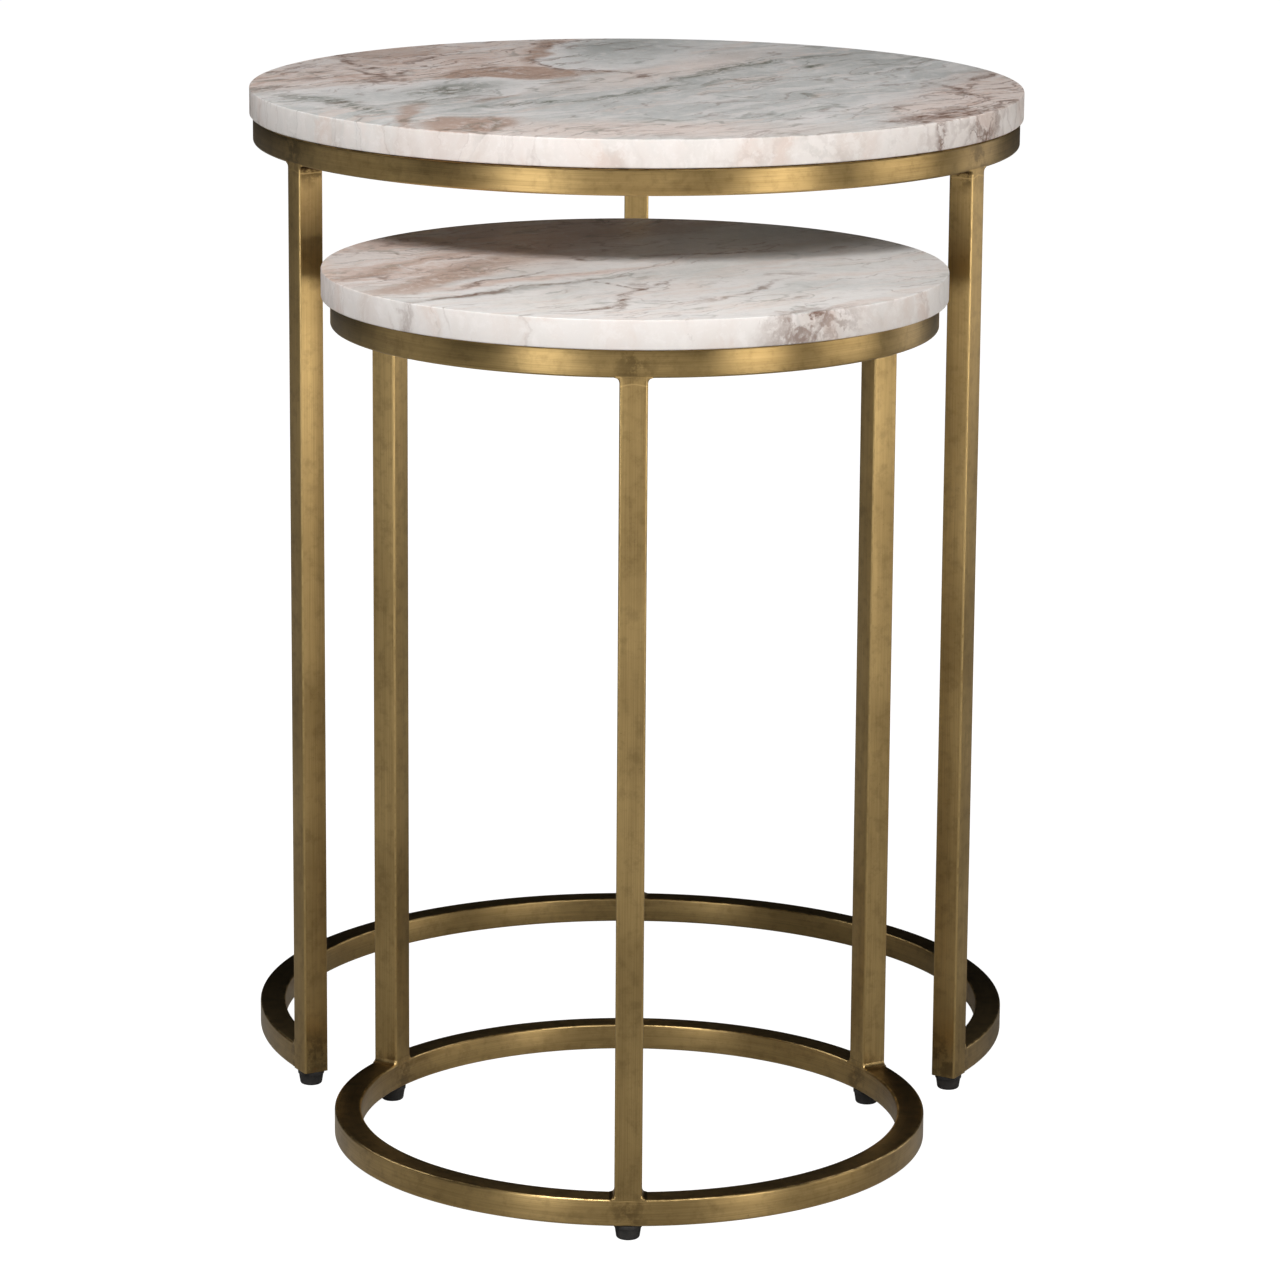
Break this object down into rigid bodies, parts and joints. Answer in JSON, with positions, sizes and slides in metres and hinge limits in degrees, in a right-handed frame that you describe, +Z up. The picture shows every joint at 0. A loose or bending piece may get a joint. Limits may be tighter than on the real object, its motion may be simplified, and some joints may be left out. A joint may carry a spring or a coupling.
{
  "type": "nesting tables",
  "caption": "Small round stone-topped table that slides out from under a larger one, both on slim square-tube brass frames with ring bases.",
  "frame": {"origin": "centre of the pair's footprint on the floor, with the small table pulled out as stored", "axes": "+Z up; -Y is the front, where the small table is pulled out; +X is to the right seen from the front"},
  "size_m": [0.45, 0.6126, 0.574],
  "materials": {
    "stone": "polished marble, pink-beige to grey with brown veins",
    "antique_brass": "brushed antique brass with darker welds",
    "rubber": "matte black",
    "screw_steel": "zinc plated",
    "silicone": "milky, satin"
  },
  "bodies": {
    "large_table": {"large_stone_top": "stone", "large_top_ring": "antique_brass", "large_base_ring": "antique_brass", "large_leg_back": "antique_brass", "large_leg_front_left": "antique_brass", "large_leg_front_right": "antique_brass", "large_leg_end_plate_front_left": "antique_brass", "large_leg_end_plate_front_right": "antique_brass", "large_foot_back": "rubber", "large_foot_front_left": "rubber", "large_foot_front_right": "rubber", "large_foot_screw_back": "screw_steel", "large_foot_screw_front_left": "screw_steel", "large_foot_screw_front_right": "screw_steel", "large_silicone_pad_1": "silicone", "large_silicone_pad_2": "silicone", "large_silicone_pad_3": "silicone", "large_silicone_pad_4": "silicone", "large_silicone_pad_5": "silicone", "large_silicone_pad_6": "silicone"},
    "small_table": {"small_stone_top": "stone", "small_top_ring": "antique_brass", "small_base_ring": "antique_brass", "small_leg_front": "antique_brass", "small_leg_back_left": "antique_brass", "small_leg_back_right": "antique_brass", "small_foot_front": "rubber", "small_foot_back_left": "rubber", "small_foot_back_right": "rubber", "small_foot_screw_front": "screw_steel", "small_foot_screw_back_left": "screw_steel", "small_foot_screw_back_right": "screw_steel", "small_silicone_pad_1": "silicone", "small_silicone_pad_2": "silicone", "small_silicone_pad_3": "silicone", "small_silicone_pad_4": "silicone", "small_silicone_pad_5": "silicone", "small_silicone_pad_6": "silicone"}
  },
  "joints": [
    {"name": "small_table_slide", "type": "slide", "parent": "large_table", "child": "small_table", "axis": [0, -1, 0], "range_m": [-0.216, 0.25]}
  ]
}
